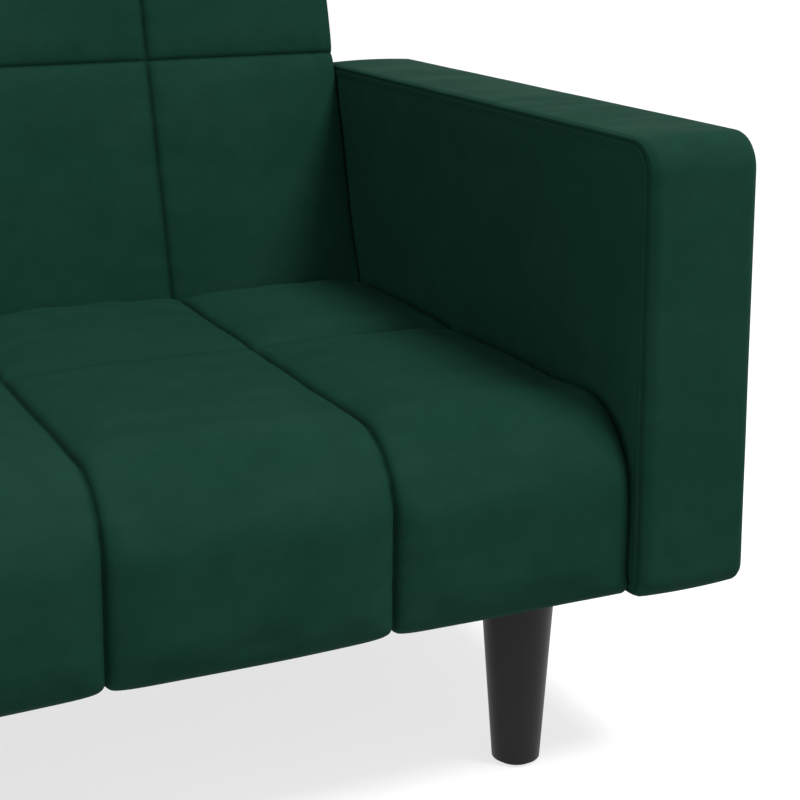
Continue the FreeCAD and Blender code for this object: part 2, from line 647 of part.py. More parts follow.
def backrest():
    low = -BACK_BELOW_SEAT
    rounds = [BACK_EDGE_ROUND, BACK_TOP_ROUND, BACK_EDGE_ROUND, BACK_EDGE_ROUND]
    outer = back_bar(-BACK_END, BACK_END, low, BACK_LENGTH, 0, BACK_THICKNESS, rounds)
    inner_rounds = [BACK_EDGE_ROUND - SIDE_CLOTH, BACK_TOP_ROUND - QUILT] + [BACK_EDGE_ROUND - SIDE_CLOTH] * 2
    bottom = low + SIDE_CLOTH
    top = BACK_LENGTH - QUILT
    x = BACK_RAIL_X
    inner = back_bar(-x, x, bottom, top, QUILT, BACK_THICKNESS - SIDE_CLOTH, inner_rounds)
    pieces["backrest_cover"] = outer.cut(inner)
    rail_low = bottom + BACK_EDGE_ROUND
    rail_top = top - BACK_EDGE_ROUND
    inside = x - SIDE_RAIL
    deep = FRAME_IN - BACK_RAIL_DEEP
    shallow = FRAME_IN - BACK_RAIL
    for name, side in SIDES.items():
        x0, x1 = span(side, inside, x)
        rail = back_bar(x0, x1, bottom, rail_top, deep, FRAME_IN)
        pieces["backrest_side_rail_" + name] = rail.common(inner)
    pieces["backrest_bottom_rail"] = back_bar(
        -inside, inside, rail_low, rail_low + BACK_RAIL_TALL, shallow, FRAME_IN)
    pieces["backrest_top_rail"] = back_bar(
        -inside, inside, rail_top - BACK_RAIL_TALL, rail_top, shallow, FRAME_IN)
    uprights = []
    for index in range(UPRIGHTS):
        middle = (index - (UPRIGHTS - 1) / 2) * PLANK_SPACING
        uprights.append(back_bar(middle - BACK_RAIL, middle + BACK_RAIL, rail_low + BACK_RAIL_TALL,
                                 rail_top - BACK_RAIL_TALL, shallow, FRAME_IN))
    pieces["backrest_uprights"] = Part.makeCompound(uprights)
    width, thick = WEBBING
    pitch = 2 * inside / SPRINGS
    straps = []
    for index in range(SPRINGS):
        middle = -inside + pitch * (index + 0.5)
        straps.append(
            back_bar(middle - width / 2, middle + width / 2, rail_low, rail_top, shallow - thick, shallow))
    pieces["backrest_webbing"] = Part.makeCompound(straps)
    pieces["backrest_board"] = back_bar(-inside, inside, rail_low, rail_top, FRAME_IN, FRAME_IN + BACK_BOARD)
    frame_room = back_bar(-x - 1, x + 1, low - 1, BACK_LENGTH, shallow - thick, BACK_THICKNESS)
    foam = inner.cut(frame_room)
    for name in SIDES:
        foam = foam.cut(pieces["backrest_side_rail_" + name])
    pieces["backrest_foam"] = foam


def drill_frame():
    """The holes that the studs and screws make in the timber above the legs."""
    timbers = (
        "seat_front_rail", "leg_blocks", "seat_cross_planks", "seat_side_rail_left", "seat_side_rail_right")
    for name in timbers:
        for tool in ("leg_studs", "leg_plate_screws"):
            pieces[name] = pieces[name].cut(pieces[tool])


def build():
    seat_frame()
    seat_springs()
    seat_pad()
    dust_cover()
    legs()
    drill_frame()
    arms()
    backrest()
    hinges()


def write():
    os.makedirs("parts", exist_ok=True)
    middle = BACK_TOP_Y / 2
    for name, shape in pieces.items():
        moved = shape.copy()
        moved.translate(V(0, -middle, 0))
        moved.exportStep("parts/" + name + ".step")


build()
write()
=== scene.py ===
import json
import math

import bmesh
import bpy
import numpy as np
from bpy.props import FloatProperty, FloatVectorProperty, PointerProperty
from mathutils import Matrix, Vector


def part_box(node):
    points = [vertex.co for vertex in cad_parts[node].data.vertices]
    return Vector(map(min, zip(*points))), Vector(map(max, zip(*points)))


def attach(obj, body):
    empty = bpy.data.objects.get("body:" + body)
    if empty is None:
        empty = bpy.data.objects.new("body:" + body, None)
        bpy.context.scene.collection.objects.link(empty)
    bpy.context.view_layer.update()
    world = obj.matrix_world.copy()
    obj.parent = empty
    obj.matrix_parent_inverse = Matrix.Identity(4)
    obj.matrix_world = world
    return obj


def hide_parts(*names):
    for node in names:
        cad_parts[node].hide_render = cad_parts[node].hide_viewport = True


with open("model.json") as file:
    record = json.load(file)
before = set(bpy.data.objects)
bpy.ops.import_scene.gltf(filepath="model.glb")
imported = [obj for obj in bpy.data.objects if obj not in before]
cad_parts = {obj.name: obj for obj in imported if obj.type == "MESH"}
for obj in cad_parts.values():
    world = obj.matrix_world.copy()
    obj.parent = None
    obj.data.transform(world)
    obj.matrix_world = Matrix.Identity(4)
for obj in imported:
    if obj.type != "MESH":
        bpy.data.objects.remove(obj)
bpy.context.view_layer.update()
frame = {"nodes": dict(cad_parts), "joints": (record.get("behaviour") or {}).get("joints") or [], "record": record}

bl_info = {
    "name": "Quilted Sofa Bed",
    "version": (1, 0, 0),
    "blender": (4, 5, 0),
    "location": "View3D > Sidebar > Sofa Bed",
    "description": "Covers, finishes and studio of a click-clack sofa bed",
    "category": "Add Mesh",
}

# ---- from the frame, in metres: LEAN is the backrest's angle off upright, ALONG runs up its face and
# INTO goes through it from the front, and CREASE is the line where its face meets the seat's top
RECORD = frame["record"]
RECLINE_JOINT = next(j for j in frame["joints"] if j["name"] == "back_recline")
PIVOT = np.array(RECLINE_JOINT["pos_m"])
LEAN = math.radians(90 - RECLINE_JOINT["range_deg"][1])
ARM_LOW, ARM_HIGH = (np.array(corner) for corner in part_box("arm_cover_right"))
SEAT_LOW, SEAT_HIGH = (np.array(corner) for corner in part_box("seat_cover"))
BACK_HIGH = np.array(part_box("backrest_cover")[1])
DUST_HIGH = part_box("dust_cover")[1].z
HALF_WIDTH = ARM_LOW[0]
ALONG = np.array([0.0, math.sin(LEAN), math.cos(LEAN)])
INTO = np.array([0.0, math.cos(LEAN), -math.sin(LEAN)])
PIVOT_DEPTH = SEAT_HIGH[2] - PIVOT[2]
CREASE = np.array([0.0, PIVOT[1] - PIVOT_DEPTH * (1 - math.sin(LEAN)) / math.cos(LEAN), SEAT_HIGH[2]])

# ---- studio: camera place from the arm's lowest front corner, turns in degrees, lights in watts
CAMERA_FROM_ARM = np.array([-0.7640, -1.1529, 0.5863])
CAMERA_DOWN = 11.433
CAMERA_TURN = -25.398
CAMERA_LENS = 80.44
CAMERA_SHIFT = -0.21
FLOOR_HALF = 30.0
FLOOR_GLOW = 0.72
LIGHTS = {
    "key_light": {"place": (3.2, -2.7, 6.0), "aim": (0.4, 0.0, 0.3), "width": 2.0, "power": 690.0},
    "fill_light": {"place": (-4.0, -1.5, 1.6), "aim": (0.6, 0.0, 0.4), "width": 2.2, "power": 60.0},
}

# ---- quilting, in metres: the columns, and how finely the pads are divided
SEED = 7
PITCH = 0.230
SIDE_COLUMNS = 4
SEAMS = (SIDE_COLUMNS - 1) * PITCH
PAD_STEP = 0.0052
ROWS_PER_COLUMN = 34
SEAM_BAND = 0.014

# ---- a panel makes STEEP_SHARE of its rise close to a seam, and the rest SLOW_RISE times as far from it
STEEP_SHARE = 0.62
SLOW_RISE = 3.0
CROSS_DIP = 0.72
CROSS_SPREAD = 1.5

# ---- creases, as shares of a column seam's, and small gathers beside them, by length and reach
CROSS_CREASE = 0.75
CREASE_POWER = 1.3
CREASE_LIMIT = 1.1
# CREASED_RIDGE: how proud the quilting must stand for its seams to get painted shade
CREASED_RIDGE = 0.3
HEM_RIDGE = 0.6
CROSS_GATHER = 0.021
CROSS_GATHER_REACH = 0.024
COLUMN_GATHER = 0.024
COLUMN_GATHER_REACH = 0.020
COLUMN_GATHER_SHARE = 0.6
SOFT_HEIGHT = 0.0005
SOFT_LENGTH = 0.17

# ---- the pads' ends, and their cross seams' distance from the arm's front and up the backrest's face
BESIDE_ARM = 0.07
SINK_BESIDE_ARM = 0.006
SEAT_CROSS_SEAM = 0.325
SEAT_END_GAP = 0.0005
BACK_CROSS_SEAM = 0.240
BACK_END_GAP = 0.0096
BACK_WIDER = 0.0088
WIDENED = 0.10
END_RINGS = np.array([0.96, 0.90, 0.84, 0.80, 0.76, 0.72, 0.68, 0.50, 0.25, 0.0])[:, None, None]

# ---- cloth simulation: where the cover is held, how far it comes loose, and how far it may move
CLOTH_FRAMES = 20
CLOTH_UNDER = 0.001
HELD_BESIDE_SEAM = 0.005
HELD_BESIDE_CROSS = 0.0055
LOOSE_FROM_SEAM = 0.008
LOOSE_FROM_CROSS = 0.012
SEAT_FILL = 0.0045
BACK_FILL = 0.0025

# ---- arm covers: corner radii, and heights of the seam, its lip, the band's crown and the panel's bulge
ARM_RADII = (0.017, 0.010, 0.014, 0.029)
ARM_STEP = 0.0055
PANEL_REACH = 0.62
STRAIGHT_IN = 0.012
ARM_SEAM = 0.0016
ARM_SEAM_LIP = 0.0008
ARM_CROWN = 0.0020
ARM_SOFT = 0.00012
ARM_BULGE = 0.0012


# ---------------------------------------------------------------- sizes and colours

class SofaSizes(bpy.types.PropertyGroup):
    """Sizes of the sewn covers."""

    seat_crown: FloatProperty(
        name="Seat crown", description="How far a seat panel stands above its seams",
        default=0.0075, min=0.0, max=0.04, unit="LENGTH")
    back_crown: FloatProperty(
        name="Backrest crown", description="How far a backrest panel stands above its seams",
        default=0.0040, min=0.0, max=0.04, unit="LENGTH")
    seam_depth: FloatProperty(
        name="Seam depth", description="Depth of the sharp crease along a quilting seam",
        default=0.0038, min=0.0, max=0.02, unit="LENGTH")
    seam_width: FloatProperty(
        name="Seam width", description="Half width of the sharp crease along a quilting seam",
        default=0.0025, min=0.001, max=0.02, unit="LENGTH")
    end_round: FloatProperty(
        name="End rounding", description="How far the end columns roll down beside the arms",
        default=0.018, min=0.0, max=0.08, unit="LENGTH")
    arm_edge: FloatProperty(
        name="Arm edge", description="Radius of the soft rolled edge along the arm's band",
        default=0.011, min=0.002, max=0.03, unit="LENGTH")
    pucker: FloatProperty(
        name="Pucker", description="Height of the small gathers beside the cross seams",
        default=0.0008, min=0.0, max=0.005, unit="LENGTH")


class SofaColours(bpy.types.PropertyGroup):
    """Colours of the finishes."""

    velvet: FloatVectorProperty(
        name="Velvet", description="Pile colour of the covers", subtype="COLOR",
        default=(0.0037, 0.0212, 0.0134), min=0, max=1)
    velvet_nap: FloatVectorProperty(
        name="Velvet nap", description="Colour where the pile is brushed the other way", subtype="COLOR",
        default=(0.0047, 0.0238, 0.0152), min=0, max=1)
    leg: FloatVectorProperty(
        name="Legs", description="Moulded leg plastic", subtype="COLOR",
        default=(0.0075, 0.0075, 0.0076), min=0, max=1)
    timber: FloatVectorProperty(
        name="Timber", description="Frame timber", subtype="COLOR",
        default=(0.46, 0.30, 0.16), min=0, max=1)
    floor: FloatVectorProperty(
        name="Floor", description="Studio floor", subtype="COLOR",
        default=(0.22, 0.22, 0.22), min=0, max=1)


# ---------------------------------------------------------------- surfaces

def corner_arc(before, corner, after, radius, spacing):
    """Points of the arc of a radius that is tangent to both sides of a corner."""
    to_before = (before - corner) / np.linalg.norm(before - corner)
    to_after = (after - corner) / np.linalg.norm(after - corner)
    half = math.acos(np.clip(to_before @ to_after, -1, 1)) / 2
    inward = (to_before + to_after) / np.linalg.norm(to_before + to_after)
    centre = corner + inward * radius / math.sin(half)
    start = corner + to_before * radius / math.tan(half) - centre
    turn = math.pi - 2 * half
    if start[1] * to_before[0] - start[0] * to_before[1] < 0:
        turn = -turn
    steps = max(3, int(math.ceil(abs(turn) * radius / spacing)) + 1)
    angles = np.linspace(0, turn, steps + 1)
    cos, sin = np.cos(angles), np.sin(angles)
    return centre + np.stack([start[0] * cos - start[1] * sin, start[0] * sin + start[1] * cos], 1)


def rounded_loop(corners, radii, spacing):
    """A closed polygon with rounded corners, as points and outward normals.

    Each corner is an arc, and each side between two arcs is divided evenly. The normal at a point is the
    direction between its neighbours, turned a quarter so that it leaves the enclosed area.
    """
    corners = np.array(corners, float)
    sides = zip(np.roll(corners, 1, 0), corners, np.roll(corners, -1, 0), radii)
    arcs = [corner_arc(before, corner, after, radius, spacing) for before, corner, after, radius in sides]
    points = []
    for arc, following in zip(arcs, arcs[1:] + arcs[:1]):
        side = following[0] - arc[-1]
        pieces = max(1, int(round(np.linalg.norm(side) / spacing)))
        share = np.linspace(0, 1, pieces + 1)[1:-1, None]
        points += [arc, arc[-1] + side * share]
    points = np.concatenate(points)
    tangent = np.roll(points, -1, 0) - np.roll(points, 1, 0)
    tangent /= np.linalg.norm(tangent, axis=1)[:, None]
    normals = np.stack([tangent[:, 1], -tangent[:, 0]], 1)
    area = np.sum(points[:, 0] * np.roll(points[:, 1], -1) - np.roll(points[:, 0], -1) * points[:, 1])
    return points, normals * np.sign(area)


def loop_lengths(points):
    """Distance along a closed loop at each of its points."""
    steps = np.linalg.norm(np.diff(points, axis=0), axis=1)
    return np.concatenate([[0], np.cumsum(steps)])


def length_at(loop, length, here):
    """Distance along a loop at the loop's point nearest to a place."""
    return length[np.argmin(np.hypot(*(loop - here).T))]


def cubic_resample(values, places, axis):
    """Values on an even grid read at fractional places along one axis.

    Each is a sum of four neighbours by their Catmull-Rom weights.
    """
    values = np.moveaxis(values, axis, 0)
    count = len(values)
    low = np.clip(np.floor(places).astype(int), 0, count - 2)
    part = places - low
    weights = np.stack([
        -0.5 * part + part ** 2 - 0.5 * part ** 3,
        1 - 2.5 * part ** 2 + 1.5 * part ** 3,
        0.5 * part + 2 * part ** 2 - 1.5 * part ** 3,
        -0.5 * part ** 2 + 0.5 * part ** 3,
    ])
    shape = (-1,) + (1,) * (values.ndim - 1)
    total = sum(
        weights[k].reshape(shape) * values[np.clip(low + k - 1, 0, count - 1)]
        for k in range(4)
    )
    return np.moveaxis(total, 0, axis)


def tube_object(name, points, uv, crease):
    """A closed skin from a grid of points: rows along u from end to end, each row a closed loop along v.

    The first and the last row are already drawn together to a line, so merging doubles closes them. The
    crease grid is kept as an attribute: the mask of the painted shade that darkens the velvet in the seams.
    """
    rows, columns = points.shape[:2]
    index = np.arange(rows * columns).reshape(rows, columns)
    right = np.roll(index, -1, axis=1)
    faces = np.stack([index[:-1], index[1:], right[1:], right[:-1]], -1).reshape(-1, 4)
    mesh = bpy.data.meshes.new(name)
    mesh.from_pydata(points.reshape(-1, 3).tolist(), [], faces.tolist())
    layer = mesh.uv_layers.new(name="Cloth")
    wrapped = np.concatenate([uv, uv[:, :1] + [[[0, 1e-3]]]], 1)
    wrapped[:, -1, 1] = 2 * uv[:, -1, 1] - uv[:, -2, 1]
    corner_uv = np.stack([wrapped[:-1, :-1], wrapped[1:, :-1], wrapped[1:, 1:], wrapped[:-1, 1:]], 2)
    layer.data.foreach_set("uv", corner_uv.reshape(-1).astype(np.float32))
    # painted shade: this attribute darkens the velvet's colour along the seams
    seam_shade = mesh.attributes.new("crease", "FLOAT", "POINT")
    seam_shade.data.foreach_set("value", np.ascontiguousarray(crease, np.float32).reshape(-1))
    edit = bmesh.new()
    edit.from_mesh(mesh)
    bmesh.ops.remove_doubles(edit, verts=edit.verts, dist=2e-5)
    bmesh.ops.dissolve_degenerate(edit, edges=edit.edges, dist=1e-6)
    bmesh.ops.recalc_face_normals(edit, faces=edit.faces)
    edit.to_mesh(mesh)
    edit.free()
    mesh.polygons.foreach_set("use_smooth", np.ones(len(mesh.polygons), bool))
    piece = bpy.data.objects.new(name, mesh)
    bpy.context.scene.collection.objects.link(piece)
    return piece


def smooth_step(value, low, high):
    """0 below low, 1 above high, and the smooth cubic between them."""
    share = np.clip((value - low) / (high - low), 0, 1)
    return share * share * (3 - 2 * share)


def waves(x, y, scale, seed, count=7):
    """Smooth irregular waves between about -1 and 1: a sum of sines of seeded directions and phases."""
    random = np.random.default_rng(seed)
    total = np.zeros(np.broadcast(x, y).shape)
    for _ in range(count):
        turn = random.uniform(0, 2 * math.pi)
        phase = random.uniform(0, 2 * math.pi)
        stretch = random.uniform(0.6, 1.6)
        along = x * math.cos(turn) + y * math.sin(turn)
        total = total + np.sin(along * 2 * math.pi * stretch / scale + phase)
    return total / math.sqrt(count * 1.3)


# ---------------------------------------------------------------- quilted pads

class Pad:
    """A quilted pad: a loop seen from the side, carried along X, with columns and one cross seam.

    place(loop, x) turns loop coordinates into space, side_view turns places in space back into loop
    coordinates, and turn(directions) turns directions into space. traits(loop) gives ridge, which is 1
    where the quilting stands proud and 0 on the hidden faces; drop, how much of the end rounding each
    point takes; and sink, how far it slopes down beside the arms. cross is the distance along the loop
    of the cross seam. crown and depth are the heights of a panel and of a crease, spread is how far
    from its seam a panel has risen, and end is half the pad's length.
    """

    def __init__(self, loop, normals, length, traits, place, turn, **settings):
        self.loop, self.normals, self.length = loop, normals, length
        self.traits, self.place, self.turn, self.settings = traits, place, turn, settings
        self.cross, self.crown = settings["cross"], settings["crown"]
        self.spread, self.depth, self.end = settings["spread"], settings["depth"], settings["end"]
        self.side_view = settings["side_view"]
        self.ridge, self.drop, self.sink = traits(loop)
        self.hem = (self.ridge > 0) & (self.ridge < HEM_RIDGE)

    def sampled(self, length):
        """The same pad with its loop read at other distances along it."""
        loop, normals = (
            np.stack([np.interp(length, self.length, rows[:, k]) for k in (0, 1)], 1)
            for rows in (self.loop, self.normals)
        )
        return Pad(loop, normals, length, self.traits, self.place, self.turn, **self.settings)

    def close_to_seam(self):
        """The same pad with its loop read every millimetre beside the cross seam."""
        near = self.cross + np.linspace(-SEAM_BAND, SEAM_BAND, 29)
        kept = self.length[np.abs(self.length - self.cross) > SEAM_BAND + 0.001]
        return self.sampled(np.sort(np.concatenate([kept, near])))

    def flatness(self, x):
        """Across a column: 0 on its seams, rising as two exponentials to a nearly flat 1.

        Also returns the distance from the nearest seam.
        """
        nearest = np.clip(np.round(x / PITCH) * PITCH, -SEAMS, SEAMS)
        free = np.abs(x - nearest)
        steep = np.exp(-free / self.spread)
        slow = np.exp(-free / (SLOW_RISE * self.spread))
        return 1 - STEEP_SHARE * steep - (1 - STEEP_SHARE) * slow, free

    def rows(self, along):
        """Along the loop: 1, dipping beside the cross seam; and the distance from that seam."""
        away = np.abs(along - self.cross)
        return 1 - CROSS_DIP * np.exp(-away / (CROSS_SPREAD * self.spread)), away

    def crease(self, x, along):
        """1 in the middle of a column seam, less in the cross seam, and 0 a seam's width away."""
        width = bpy.context.scene.sofa_sizes.seam_width
        free, away = self.flatness(x)[1], self.rows(along)[1]
        column = np.exp(-(free / width) ** CREASE_POWER)[:, None]
        return column + CROSS_CREASE * np.exp(-(away / width) ** CREASE_POWER)[None]

    def base(self, x, shrink=0.0):
        """The pad at seam level: the loop at each x, rolled in by a quarter circle towards its ends."""
        inner = self.end - np.abs(x)
        round_off = bpy.context.scene.sofa_sizes.end_round
        near = np.clip(1 - inner / round_off, 0, 1)
        roll = round_off * (1 - np.sqrt(np.clip(1 - near ** 2, 0, 1)))
        pull = 1 - smooth_step(inner, 0.0, BESIDE_ARM)
        inset = (roll[:, None] * self.drop[None] + pull[:, None] * self.sink[None] + shrink)[..., None]
        flat = self.loop[None] - self.normals[None] * inset
        return self.place(flat, x)

    def panels(self, x, along):
        """Height of the panels over seam level, for each x and each length along the loop."""
        across, down = self.flatness(x)[0], self.rows(along)[0]
        return self.crown * across[:, None] * down[None] * self.ridge[None]

    def swell(self, x, along):
        """Height of the panels, less the creases, plus gathers beside the seams and soft unevenness."""
        sizes = bpy.context.scene.sofa_sizes
        free, away = self.flatness(x)[1], self.rows(along)[1]
        crease = np.minimum(self.crease(x, along), CREASE_LIMIT)
        height = self.panels(x, along) - self.depth * crease * np.minimum(self.ridge * 1.6, 1)[None]
        gather = waves(x[:, None], 0 * along[None], CROSS_GATHER, SEED)
        beside = waves(0 * x[:, None], along[None], COLUMN_GATHER, SEED + 1)
        gather = gather * np.exp(-away / CROSS_GATHER_REACH)[None]
        beside = beside * np.exp(-free / COLUMN_GATHER_REACH)[:, None]
        soft = waves(x[:, None], along[None], SOFT_LENGTH, SEED + 2)
        uneven = sizes.pucker * (gather + COLUMN_GATHER_SHARE * beside) + SOFT_HEIGHT * soft
        return height + uneven * self.ridge[None]


def column_places(end, per_column):
    """X of every row of the mesh: close together beside the seams and at the ends, wider in between.

    Within a column the places follow a straight line less a sine, and at an end a quarter cosine.
    """
    share = np.linspace(0, 1, per_column + 1)
    eased = share - 0.80 * np.sin(2 * math.pi * share) / (2 * math.pi)
    x = np.concatenate([PITCH * (column + eased[:-1]) for column in range(-SIDE_COLUMNS, SIDE_COLUMNS)])
    x = x[(np.abs(x) < end - 0.032)]
    cap = end - 0.030 * (1 - np.cos(np.linspace(math.pi / 2, 0, 12)))
    return np.concatenate([-cap[::-1], x, cap])


def inflate(name, points, held, cap):
    """Cloth simulation of a grid of points under pressure, with the held ones pinned.

    Returns how far each point moves, shortened to cap where it is longer.
    """
    rows, columns = points.shape[:2]
    index = np.arange(rows * columns).reshape(rows, columns)
    right = np.roll(index, -1, axis=1)
    faces = np.stack([index[:-1], right[:-1], right[1:], index[1:]], -1).reshape(-1, 4)
    mesh = bpy.data.meshes.new(name)
    mesh.from_pydata(points.reshape(-1, 3).tolist(), [], faces.tolist())
    body = bpy.data.objects.new(name, mesh)
    bpy.context.scene.collection.objects.link(body)
    body.vertex_groups.new(name="sewn").add(index[held].tolist(), 1.0, "REPLACE")
    cloth = body.modifiers.new("Cloth", "CLOTH")
    settings = cloth.settings
    settings.quality = 5
    settings.mass = 0.35
    settings.tension_stiffness = 18
    settings.compression_stiffness = 14
    settings.shear_stiffness = 8
    settings.bending_stiffness = 1.2
    settings.air_damping = 2.0
    settings.use_pressure = True
    settings.uniform_pressure_force = 4.0
    settings.vertex_group_mass = "sewn"
    settings.pin_stiffness = 1.0
    settings.shrink_min = -0.02
    settings.effector_weights.gravity = 0.0
    cloth.collision_settings.use_collision = False
    scene = bpy.context.scene
    for moment in range(1, CLOTH_FRAMES + 1):
        scene.frame_set(moment)
    shaped = body.evaluated_get(bpy.context.evaluated_depsgraph_get())
    moved = np.empty(rows * columns * 3, np.float32)
    shaped.data.vertices.foreach_get("co", moved)
    scene.frame_set(1)
    bpy.data.objects.remove(body)
    bpy.data.meshes.remove(mesh)
    change = moved.reshape(rows, columns, 3) - points
    size = np.linalg.norm(change, axis=2, keepdims=True)
    return change * np.minimum(1, cap / np.maximum(size, 1e-9))


def filled_cloth(name, pad, fine, fine_x, cap):
    """How far the filling pushes the cover at every fine point, simulated on a coarser grid.

    Cloth beside a seam, on the hidden faces and at the ends is held. The movement is averaged over
    neighbouring points, read at the fine points, and fades exponentially to 0 towards every seam.
    """
    coarse = pad.sampled(pad.length[::2])
    middle_x = np.linspace(-SEAMS, SEAMS, 97)
    outer_x = np.linspace(SEAMS, pad.end, 16)[1:]
    coarse_x = np.concatenate([-outer_x[::-1], middle_x, outer_x])
    swollen = coarse.panels(coarse_x, coarse.length)[..., None] * coarse.turn(coarse.normals)[None]
    start = coarse.base(coarse_x, CLOTH_UNDER) + swollen
    held = np.zeros(start.shape[:2], bool)
    held[coarse.flatness(coarse_x)[1] < HELD_BESIDE_SEAM] = True
    held[:, (coarse.ridge < 0.5) | coarse.hem | (coarse.rows(coarse.length)[1] < HELD_BESIDE_CROSS)] = True
    held[[0, 1, -2, -1]] = True
    change = inflate(name + "_cloth", start, held, cap)
    change = 0.5 * change + 0.25 * np.roll(change, 1, 1) + 0.25 * np.roll(change, -1, 1)
    change[1:-1] = 0.5 * change[1:-1] + 0.25 * change[2:] + 0.25 * change[:-2]
    closed = np.concatenate([change, change[:, :1]], 1)
    stations = np.append(coarse.length, fine.length[-1] + 0.005)
    change = cubic_resample(closed, np.interp(fine.length, stations, np.arange(len(stations))), 1)
    change = cubic_resample(change, np.interp(fine_x, coarse_x, np.arange(len(coarse_x))), 0)
    loose = 1 - np.exp(-fine.flatness(fine_x)[1] / LOOSE_FROM_SEAM)
    free = fine.ridge * (1 - np.exp(-fine.rows(fine.length)[1] / LOOSE_FROM_CROSS))
    return change * (loose[:, None] * free[None])[..., None]


def end_face(pad, edge, x):
    """Rings that close an end: the edge's side view drawn towards its mean by each of END_RINGS."""
    flat = pad.side_view(edge)
    middle = flat.mean(0)
    return pad.place(middle + END_RINGS * (flat - middle), np.full(len(END_RINGS), x))


def quilted_pad(name, pad, per_column, cap):
    """The pad's mesh: the loop at seam level, plus the swell, plus the simulated cloth's movement."""
    fine_x = column_places(pad.end, per_column)
    fine = pad.close_to_seam()
    outward = fine.turn(fine.normals)
    points = fine.base(fine_x) + fine.swell(fine_x, fine.length)[..., None] * outward[None]
    points = points + filled_cloth(name, pad, fine, fine_x, cap)
    # painted shade mask: 1 along the seams, where the velvet's colour is darkened
    crease = np.clip(fine.crease(fine_x, fine.length), 0, 1) * (fine.ridge > CREASED_RIDGE)[None]
    first, last = (end_face(pad, points[end], fine_x[end]) for end in (0, -1))
    points = np.concatenate([first[::-1], points, last])
    rings = len(END_RINGS)
    across = np.pad(fine_x, rings, mode="edge")
    uv = np.stack(np.broadcast_arrays(across[:, None], fine.length[None]), -1).astype(float)
    return tube_object(name, points, uv, np.pad(crease, ((rings, rings), (0, 0))))


def seat_pad():
    """Seat: side view with a rounded front, level top, and a rear face parallel to the backrest.

    The loop is (y, z). At the front it turns under in a lip as deep as the frame's edge, and behind the
    lip it rises to clear the dust cover.
    """
    sizes = bpy.context.scene.sofa_sizes
    front = ARM_LOW[1] + 0.0215
    top = SEAT_HIGH[2] - 0.006
    hem = SEAT_LOW[2] - 0.001
    under = DUST_HIGH + 0.002
    lip = front + 0.034
    rear_top = CREASE + ALONG * (top - CREASE[2]) / ALONG[2] - INTO * 0.003
    rear_low = CREASE - ALONG * 0.066 - INTO * 0.010
    corners = [
        (front + 0.002, hem), (lip, hem), (lip + 0.004, under), (rear_low[1], under),
        (rear_low[1], rear_low[2]), (rear_top[1], top), (front, top),
    ]
    radii = [0.009, 0.003, 0.002, 0.004, 0.010, 0.012, 0.062]
    loop, normals = rounded_loop(corners, radii, PAD_STEP)

    def traits(outline):
        y, z = outline.T
        on_front = y < lip + 0.006
        from_hem = smooth_step(z, hem - 0.004, hem + 0.010)
        ridge = np.where(on_front, from_hem, smooth_step(z, top - 0.03, top - 0.004))
        ridge = ridge * smooth_step(rear_top[1] - y, 0.002, 0.028)
        ridge = np.maximum(ridge, np.where(on_front & (z < hem + 0.012), 0.55, 0))
        rounded = 0.3 * smooth_step(z, hem, hem + 0.02) + 0.7 * smooth_step(z, top - 0.09, top)
        drop = np.where(on_front, rounded, smooth_step(z, top - 0.06, top - 0.01))
        on_top = smooth_step(z, top - 0.05, top - 0.005)
        return ridge, drop, SINK_BESIDE_ARM * on_top * smooth_step(y - front, 0.02, 0.12)

    def place(flat, x):
        return np.stack([np.broadcast_to(x[:, None], flat.shape[:2]), flat[..., 0], flat[..., 1]], -1)

    def side_view(points):
        return points[:, 1:]

    def turn(direction):
        return np.stack([0 * direction[:, 0], direction[:, 0], direction[:, 1]], -1)

    length = loop_lengths(loop)
    cross = length_at(loop, length, (ARM_LOW[1] + SEAT_CROSS_SEAM, top))
    pad = Pad(loop, normals, length, traits, place, turn, side_view=side_view,
              cross=cross, crown=sizes.seat_crown, spread=0.010, depth=sizes.seam_depth,
              end=HALF_WIDTH - SEAT_END_GAP)
    return quilted_pad("seat_quilted_cover", pad, ROWS_PER_COLUMN, SEAT_FILL)


def back_pad():
    """Backrest: side view of a slab with a rounded top, laid along the lean; loop is (into, along).

    Beside the arms it is narrow as far up as the hinge plates reach, and widens above them.
    """
    sizes = bpy.context.scene.sofa_sizes
    face, rear = 0.005, 0.109
    low = -0.057
    top = (BACK_HIGH[2] - CREASE[2] + 0.001) / math.cos(LEAN) - 0.0005
    corners = [(face, low), (rear, low), (rear, top), (face, top)]
    loop, normals = rounded_loop(corners, [0.018, 0.018, 0.020, 0.042], PAD_STEP)

    def traits(outline):
        into, along = outline.T
        ridge = smooth_step(rear - into, 0.012, 0.040) * smooth_step(along, -0.040, -0.015)
        drop = smooth_step(along, -0.02, 0.06) * smooth_step(rear - into, 0.0, 0.04) * 0.25
        return ridge, drop, 0 * into

    def place(flat, x):
        wide = np.clip(np.abs(x) - (HALF_WIDTH - WIDENED), 0, None) / WIDENED
        near_face = 0.024 * (1 - smooth_step(flat[..., 0], 0.010, 0.018))
        above_hinge = smooth_step(flat[..., 1] + near_face, -0.006, 0.018)
        points = CREASE + flat[..., :1] * INTO + flat[..., 1:] * ALONG
        points[..., 0] = x[:, None] + BACK_WIDER * wide[:, None] * above_hinge * np.sign(x)[:, None]
        return points

    def side_view(points):
        return np.stack([(points - CREASE) @ INTO, (points - CREASE) @ ALONG], -1)

    def turn(direction):
        return direction[:, :1] * INTO + direction[:, 1:] * ALONG

    length = loop_lengths(loop)
    cross = length_at(loop, length, (face, BACK_CROSS_SEAM))
    pad = Pad(loop, normals, length, traits, place, turn, side_view=side_view,
              cross=cross, crown=sizes.back_crown, spread=0.0055, depth=0.62 * sizes.seam_depth,
              end=HALF_WIDTH - BACK_END_GAP)
    return quilted_pad("backrest_quilted_cover", pad, ROWS_PER_COLUMN, BACK_FILL)


# ---------------------------------------------------------------- arm covers

